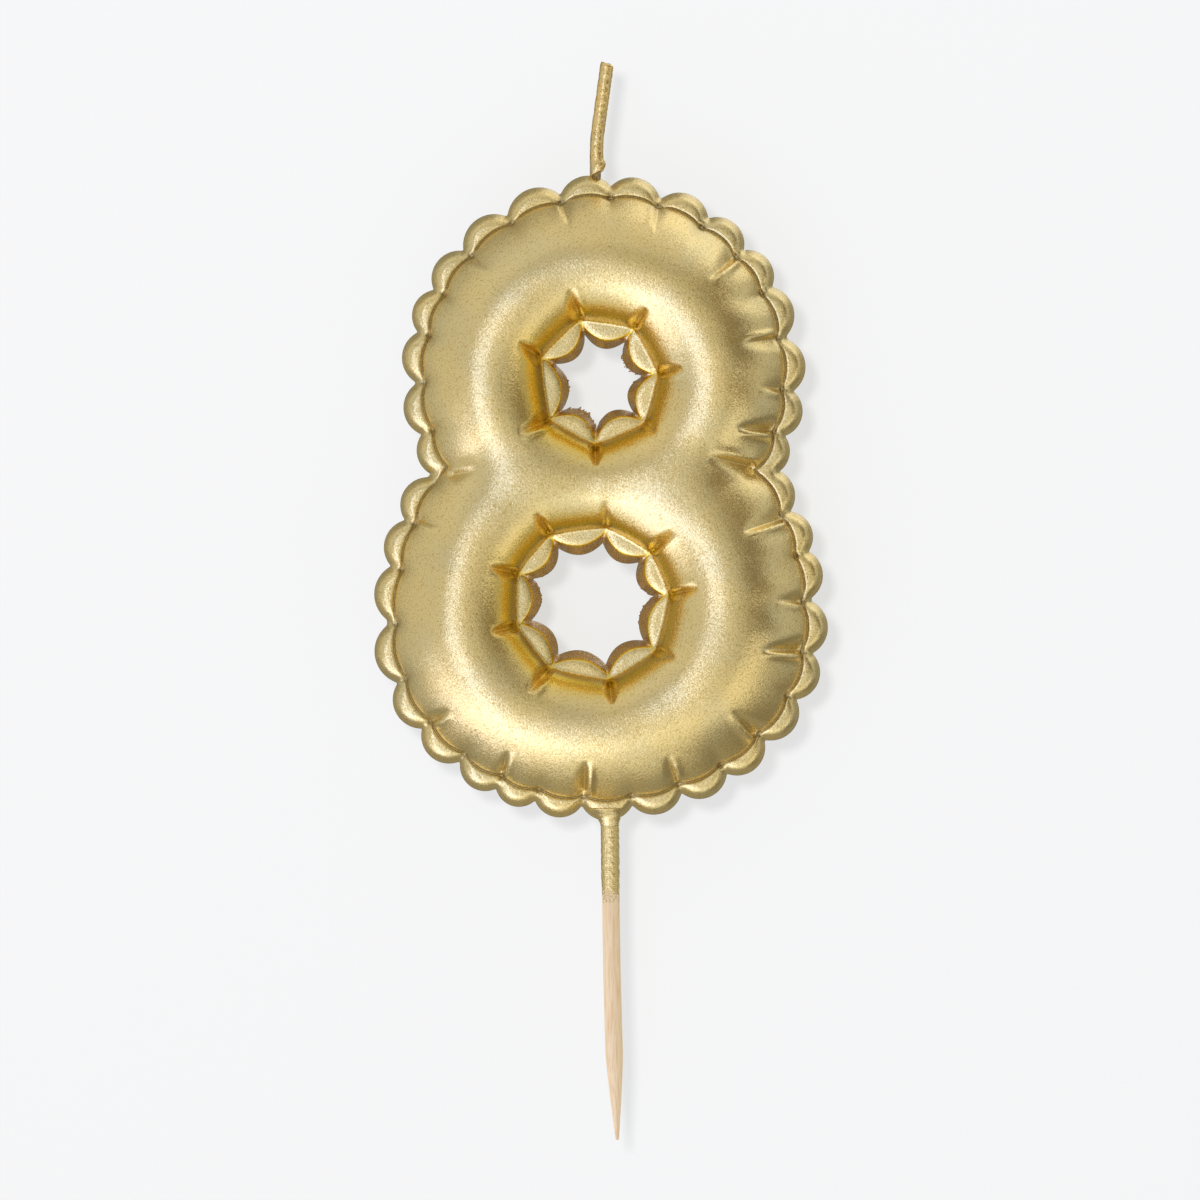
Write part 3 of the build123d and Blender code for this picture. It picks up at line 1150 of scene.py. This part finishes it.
def tube(
    name: str, centres: np.ndarray, tangents: np.ndarray, radii: np.ndarray
) -> bpy.types.Object:
    """Makes a closed round tube whose axis lies in the parting plane.

    Args:
        name: The object's name.
        centres: Ring centres, one for each ring, or one for each ring and angle.
        tangents: Axis direction at each ring, in the plan.
        radii: One radius for each ring and angle.

    Returns:
        The tube's object.
    """
    rings, sides = radii.shape
    turn = turn_steps(sides)
    across = upright(np.column_stack([tangents[:, 1], -tangents[:, 0]]))
    depth = np.array([0.0, -1.0, 0.0])
    ring = across[:, None, :] * np.cos(turn)[None, :, None] + depth * np.sin(turn)[None, :, None]
    points = centres + radii[:, :, None] * ring
    ends = points[[0, -1]].mean(axis=1)
    points = np.vstack([points.reshape(-1, 3), ends])
    faces = []
    for k in range(sides):
        after = (k + 1) % sides
        for start in range(0, (rings - 1) * sides, sides):
            above = start + sides
            faces.append((start + k, start + after, above + after, above + k))
        faces.append((rings * sides, after, k))
        faces.append((rings * sides + 1, (rings - 1) * sides + k, (rings - 1) * sides + after))
    return mesh_object(name, points, faces)


@dataclass(frozen=True)
class Ripple:
    """Smooth uneven waves over a tube's surface, between about -1 and 1."""

    waves: int
    pitch: float
    seed: int
    shortest: float = 0.25
    orders: int = 5

    def over(self, stations: np.ndarray, turn: np.ndarray) -> np.ndarray:
        """Draws the waves.

        Args:
            stations: Places along the tube.
            turn: Angles round it.

        Returns:
            One value for each station and angle.
        """
        draw = np.random.default_rng(self.seed)
        total = np.zeros((len(stations), len(turn)))
        for _ in range(self.waves):
            length = self.pitch * draw.uniform(self.shortest, 1.0)
            order = int(draw.integers(0, self.orders))
            phase = draw.uniform(0.0, 2 * math.pi, 2)
            along = np.sin(2 * math.pi * stations[:, None] / length + phase[0])
            total += along * np.cos(order * turn[None, :] + phase[1])
        return total / math.sqrt(self.waves)


@dataclass
class Wick:
    """The wick: a cotton core in a lacquered wax jacket that leans as it rises."""

    foot: Point = (-1.6, 77.0)
    bend_z: float = 80.9
    bend_radius: float = 20.0
    lean: float = 7.8
    tip_run: float = 8.0
    sides: int = 40
    radius: float = 0.82
    rings: int = 150
    crowding: float = 1.15
    lip_z: float = 77.95
    lip_rise: float = 0.75
    lip_facing: float = 0.3
    lip_shape: tuple[float, ...] = (0.5, 0.66, 0.82, 0.93, 0.99)
    bulge: float = 0.3
    bulge_height: float = 0.75
    bulge_length: float = 0.62
    bulge_facing: float = 0.35
    bulge_power: float = 1.5
    cut_share: float = 0.03
    cut_slant: float = 0.16
    cut_shape: tuple[float, ...] = (0.98, 0.94, 0.86, 0.74, 0.62)
    ripple: Ripple = Ripple(9, 2.6, 5)
    ripple_height: float = 0.018
    core_radius: float = 0.52
    core_rings: int = 120
    core_stands_out: float = 0.05
    core_cut: float = 0.8
    strand_turns: float = 1.5
    strand_twist: float = 1.9
    strand_height: float = 0.14

    def place(self, stations: np.ndarray) -> tuple[np.ndarray, np.ndarray]:
        """Walks up the wick's centreline.

        Args:
            stations: Distances from the foot.

        Returns:
            Plan points and axis directions there.
        """
        straight = self.bend_z - self.foot[1]
        full = math.radians(self.lean)
        turn = np.clip((stations - straight) / self.bend_radius, 0.0, full)
        beyond = np.maximum(stations - straight - self.bend_radius * full, 0.0)
        x = self.foot[0] + self.bend_radius * (1 - np.cos(turn)) + beyond * math.sin(full)
        rise = self.bend_radius * np.sin(turn) + beyond * math.cos(full)
        z = self.foot[1] + np.minimum(stations, straight) + rise
        return np.column_stack([x, z]), np.column_stack([np.sin(turn), np.cos(turn)])

    @property
    def length(self) -> float:
        """Length of the centreline from the foot to the tip."""
        bend = self.bend_radius * math.radians(self.lean)
        return self.bend_z - self.foot[1] + bend + self.tip_run

    def jacket(self) -> bpy.types.Object:
        """The wax jacket: uneven, bulged on one side near its oblique lower lip."""
        turn = turn_steps(self.sides)
        lip_facing = 0.5 + 0.5 * np.cos(turn - self.lip_facing)
        lip = self.lip_z - self.foot[1] + self.lip_rise * lip_facing
        rows = np.linspace(0.0, 1.0, self.rings) ** self.crowding
        part = np.concatenate([[0.0, 0.0], rows, [1.0, 1.0]])
        stations = lip[None, :] + part[:, None] * (self.length - lip[None, :])
        cut = np.clip((part[:, None] - (1.0 - self.cut_share)) / self.cut_share, 0.0, 1.0)
        stations = stations + self.cut_slant * cut * np.cos(turn + math.pi)[None, :]
        bulge = bell(stations - lip[None, :] - self.bulge_height, self.bulge_length)
        facing = (0.5 + 0.5 * np.cos(turn - self.bulge_facing)[None, :]) ** self.bulge_power
        radii = self.radius + self.bulge * bulge * facing
        radii = radii + self.ripple_height * self.ripple.over(part * self.length, turn)
        full = np.ones(len(part) - len(self.lip_shape) - len(self.cut_shape))
        radii = radii * np.concatenate([self.lip_shape, full, self.cut_shape])[:, None]
        plan, _ = self.place(stations.ravel())
        _, tangents = self.place(stations.mean(axis=1))
        centres = upright(plan).reshape(*stations.shape, 3)
        return tube("wick_jacket_wax", centres, tangents, radii)

    def core(self) -> bpy.types.Object:
        """The cotton core, twisted, from inside the wax to just past the jacket's tip."""
        turn = turn_steps(self.sides)
        stations = np.linspace(0.0, self.length + self.core_stands_out, self.core_rings)
        wound = turn[None, :] + stations[:, None] * self.strand_twist
        strands = np.abs(np.cos(self.strand_turns * wound))
        radii = self.core_radius * (1.0 - self.strand_height * (1.0 - strands))
        radii[-1] *= self.core_cut
        plan, tangents = self.place(stations)
        return tube("wick_core", upright(plan)[:, None, :], tangents, radii)


@dataclass
class Pick:
    """The wooden pick: slightly bowed, faceted by its fibres, with a long tapered point."""

    lean: float = 1.34
    bow: float = 0.16
    sides: int = 48
    rings: int = 260
    radius: float = 1.05
    buried: float = 3.0
    shank: float = 27.5
    point: float = 10.1
    taper_power: float = 1.15
    tip_radius: float = 0.2
    tip_cut: float = 0.55
    tip_rows: Point = (0.15, 0.05)
    fibres: Ripple = Ripple(10, 40.0, 11)
    fibre_height: float = 0.012
    paint: float = 0.06
    paint_end: float = 8.2
    paint_fade: float = 2.4
    crumple: Ripple = Ripple(14, 1.8, 12)
    crumple_orders: int = 3
    crumple_height: float = 0.03
    collar_top: float = -2.2
    collar_foot: float = -0.1
    collar_rings: int = 26
    collar_radius: float = 1.12
    collar_flare: Point = (0.825, 0.75)
    collar_power: float = 1.7
    collar_ripple: Ripple = Ripple(8, 1.4, 21)
    collar_ripple_height: float = 0.04

    def axis(self, stations: np.ndarray) -> tuple[np.ndarray, np.ndarray]:
        """Walks down the pick.

        Args:
            stations: Distances down from the frame's origin.

        Returns:
            Ring centres in space, and axis directions in the plan.
        """
        lean = math.radians(self.lean)
        part = np.clip(stations / (self.shank + self.point), 0.0, 1.0)
        x = stations * math.sin(lean) - self.bow * np.sin(math.pi * part)
        centres = upright(np.column_stack([x, -stations * math.cos(lean)]))
        return centres[:, None, :], np.tile([math.sin(lean), -math.cos(lean)], (len(x), 1))

    def shaft(self) -> bpy.types.Object:
        """The whole pick, its painted top a little thicker than the bare wood."""
        turn = turn_steps(self.sides)
        end = self.shank + self.point
        rows = np.linspace(-self.buried, end - self.tip_rows[0], self.rings)
        stations = np.concatenate([rows, [end - self.tip_rows[1], end]])
        taper = np.clip((stations - self.shank) / self.point, 0.0, 1.0) ** self.taper_power
        radii = self.radius + (self.tip_radius - self.radius) * taper
        radii[-1] *= self.tip_cut
        paint = np.clip((self.paint_end - stations) / self.paint_fade, 0.0, 1.0)
        crumple = self.crumple.over(stations, turn * self.crumple_orders)
        surface = radii[:, None] * (1.0 + self.fibre_height * self.fibres.over(stations, turn))
        surface = surface + paint[:, None] * (self.paint + self.crumple_height * crumple)
        return tube("pick_shaft", *self.axis(stations), surface)

    def collar(self) -> bpy.types.Object:
        """The fillet of lacquered wax between the lowest scallop and the pick."""
        turn = turn_steps(self.sides)
        stations = np.linspace(self.collar_top, self.collar_foot, self.collar_rings)
        part = (self.collar_foot - stations) / (self.collar_foot - self.collar_top)
        rise = np.clip(part, 0.0, 1.0)[:, None] ** self.collar_power
        all_round, one_side = self.collar_flare
        flare = all_round + one_side * np.clip(np.cos(turn), 0.0, 1.0)
        radii = self.collar_radius + flare[None, :] * rise
        radii = radii + self.collar_ripple_height * self.collar_ripple.over(stations, turn)
        return tube("pick_collar", *self.axis(stations), radii)


@dataclass(frozen=True)
class Glow:
    """A soft-edged oval patch of the surroundings, upright, brighter or darker than the rest."""

    towards: tuple[float, float, float]
    width: float
    height: float
    light: Colour
    core: float = 0.45
    rear_blur: float = 0.05
    rear_radius: float = 2.0

    def add_to(self, bench: Bench, look: Socket, total: Socket) -> Socket:
        """Adds the patch's light to what has been added up.

        Args:
            bench: The world's node tree.
            look: The direction being looked up.
            total: The light so far.

        Returns:
            The light with this patch in it.
        """
        forward = Vector(self.towards).normalized()
        across = forward.cross(Vector((0.0, 0.0, 1.0))).normalized()
        axes = (across / self.width, across.cross(forward) / self.height, forward)
        parts = [bench.vector("DOT_PRODUCT", look, axis, result="Value") for axis in axes]
        behind = bench.ramp(parts[2], (-self.rear_blur, self.rear_blur), (self.rear_radius, 0.0))
        place = bench.add("CombineXYZ", {0: parts[0], 1: parts[1], 2: behind})
        radius = bench.vector("LENGTH", place.outputs["Vector"], result="Value")
        fade = bench.ramp(radius, (self.core, 1.0), (1.0, 0.0), interpolation_type="SMOOTHSTEP")
        return bench.vector("MULTIPLY_ADD", fade, self.light, total)


@dataclass
class Studio:
    """A pale card behind the candle, soft lights and the camera."""

    middle: Point = (-1.2, 27.2)
    view_height: float = 144.0
    distance: float = 900.0
    sensor: float = 36.0
    clip_start: float = 0.01
    card_depth: float = 9.5
    card_size: float = 1500.0
    card_base: Colour = (0.13, 0.13, 0.13)
    card_roughness: float = 0.9
    card_light: Colour = (1.0, 1.0, 0.985)
    card_strength: float = 0.66
    lamp_place: tuple[float, float, float] = (-130.0, -850.0, 150.0)
    lamp_size: float = 110.0
    lamp_power: float = 8.0
    ambient: Colour = (0.33, 0.315, 0.27)
    backdrop: Colour = (0.913, 0.913, 0.913)
    glows: tuple[Glow, ...] = (
        Glow((-0.38, -1.0, -0.24), 0.2, 0.6, (0.96, 1.18, 2.3), 0.7),
        Glow((-0.22, -0.8, -0.84), 0.4, 0.3, (0.5, 0.62, 1.0), 0.3),
        Glow((0.0, -1.0, -0.1), 0.6, 0.8, (0.42, 0.43, 0.46), 0.2),
        Glow((-0.65, -0.45, -0.65), 0.54, 0.5, (0.95, 1.0, 1.7), 0.3),
        Glow((-0.1, -0.6, -0.8), 0.8, 0.7, (0.52, 0.54, 0.6)),
        Glow((-1.0, -0.35, 0.1), 0.9, 1.0, (0.31, 0.33, 0.39)),
        Glow((0.1, -0.35, 1.0), 1.0, 0.8, (0.36, 0.37, 0.42)),
        Glow((0.5, 0.3, 0.8), 0.6, 0.6, (0.6, 0.62, 0.7)),
        Glow((0.7, -0.62, -0.4), 0.52, 0.5, (0.7, 0.7, 0.72), 0.2),
        Glow((0.85, -0.6, 0.32), 0.34, 0.46, (-0.15, -0.18, -0.2), 0.5),
        Glow((1.0, -0.05, 0.2), 0.4, 0.9, (0.24, 0.28, 0.36)),
        Glow((0.8, 0.1, -0.5), 0.5, 0.6, (-0.12, -0.12, -0.11)),
        Glow((0.3, 1.0, 0.25), 0.4, 0.7, (0.8, 0.85, 1.1)),
    )

    def camera(self) -> None:
        """Places the camera square to the front face."""
        data = bpy.data.cameras.new("camera")
        data.sensor_width = self.sensor
        data.lens = data.sensor_width * self.distance / self.view_height
        data.clip_start = self.clip_start
        item = bpy.data.objects.new("camera", data)
        item.location = Vector((self.middle[0], -self.distance, self.middle[1])) * MM
        item.rotation_euler = (math.pi / 2, 0.0, 0.0)
        bpy.context.scene.collection.objects.link(item)
        bpy.context.scene.camera = item

    def card(self) -> bpy.types.Object:
        """Stands the pale card behind the candle; its back lets light and sight through."""
        half = self.card_size / 2
        square = np.array([(-1, -1), (1, -1), (1, 1), (-1, 1)]) * half + np.array(self.middle)
        corners = upright(square) + np.array([0.0, self.card_depth, 0.0])
        item = mesh_object("card", corners, [(0, 1, 2, 3)])
        material, bench, shader = principled("card_paper")
        finish = {
            "Base Color": self.card_base,
            "Roughness": self.card_roughness,
            "Emission Color": self.card_light,
            "Emission Strength": self.card_strength,
        }
        bench.fill(shader, finish)
        rear = bench.add("NewGeometry").outputs["Backfacing"]
        clear = bench.add("BsdfTransparent").outputs["BSDF"]
        bench.end("Material Output", rear, shader.outputs["BSDF"], clear)
        item.data.materials.append(material)
        item.visible_glossy = False
        return item

    def lamp(self, lit: bpy.types.Object) -> None:
        """Hangs the square light that throws the candle's soft shadow on one object."""
        data = bpy.data.lights.new("shadow_lamp", "AREA")
        data.size = self.lamp_size * MM
        data.energy = self.lamp_power
        item = bpy.data.objects.new("shadow_lamp", data)
        item.location = Vector(self.lamp_place) * MM
        aim = Vector((self.middle[0], 0.0, self.middle[1])) * MM - item.location
        item.rotation_euler = aim.to_track_quat("-Z", "Y").to_euler()
        item.light_linking.receiver_collection = bpy.data.collections.new("lit_by_shadow_lamp")
        item.light_linking.receiver_collection.objects.link(lit)
        bpy.context.scene.collection.objects.link(item)

    def world(self) -> None:
        """Sets the surroundings: pale to look at, and softly brighter towards a few glows."""
        bpy.context.scene.view_settings.view_transform = "Standard"
        world = bpy.data.worlds.new("studio")
        world.use_nodes = True
        bench = Bench(world.node_tree)
        look = bench.add("TexCoord").outputs["Generated"]
        total = bench.add("CombineXYZ", dict(enumerate(self.ambient))).outputs["Vector"]
        for glow in self.glows:
            total = glow.add_to(bench, look, total)
        dim = world.node_tree.nodes["Background"]
        bench.fill(dim, {"Color": total})
        pale = bench.add("Background", {"Color": self.backdrop}).outputs["Background"]
        seen = bench.add("LightPath").outputs["Is Camera Ray"]
        bench.end("World Output", seen, dim.outputs["Background"], pale)
        bpy.context.scene.world = world

    def build(self) -> None:
        """Makes everything that isn't part of the candle."""
        self.camera()
        self.world()
        self.lamp(self.card())


def wear(item: bpy.types.Object, material: bpy.types.Material, slot: str, *nodes: str) -> None:
    """Dresses a piece, fixes it to the candle and hides the plain parts it stands for.

    Args:
        item: The piece.
        material: What it wears.
        slot: The record's material slot; not used.
        *nodes: CAD nodes that it replaces.
    """
    item.data.materials.append(material)
    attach(item, ROOT)
    if nodes:
        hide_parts(*nodes)
    LOG.info("%s: %d faces", item.name, len(item.data.polygons))


def main() -> None:
    """Builds the stage and every piece of the candle."""
    logging.basicConfig(level=logging.INFO, format="%(message)s")
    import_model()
    Studio().build()
    gold = GoldLacquer().material()
    wear(WaxFigure().build(), gold, "gold_lacquer_wax", "wax_body")
    wick = Wick()
    wear(wick.core(), WickCotton().material(), "wick_cotton", "wick_cord")
    wear(wick.jacket(), WICK_LACQUER.material(), "wick_wax", "wick_jacket")
    pick = Pick()
    wear(pick.shaft(), Wood(GoldLacquer()).material(), "pick_wood", "wooden_pick")
    wear(pick.collar(), gold, "gold_lacquer_wax")


if __name__ == "__main__":
    main()
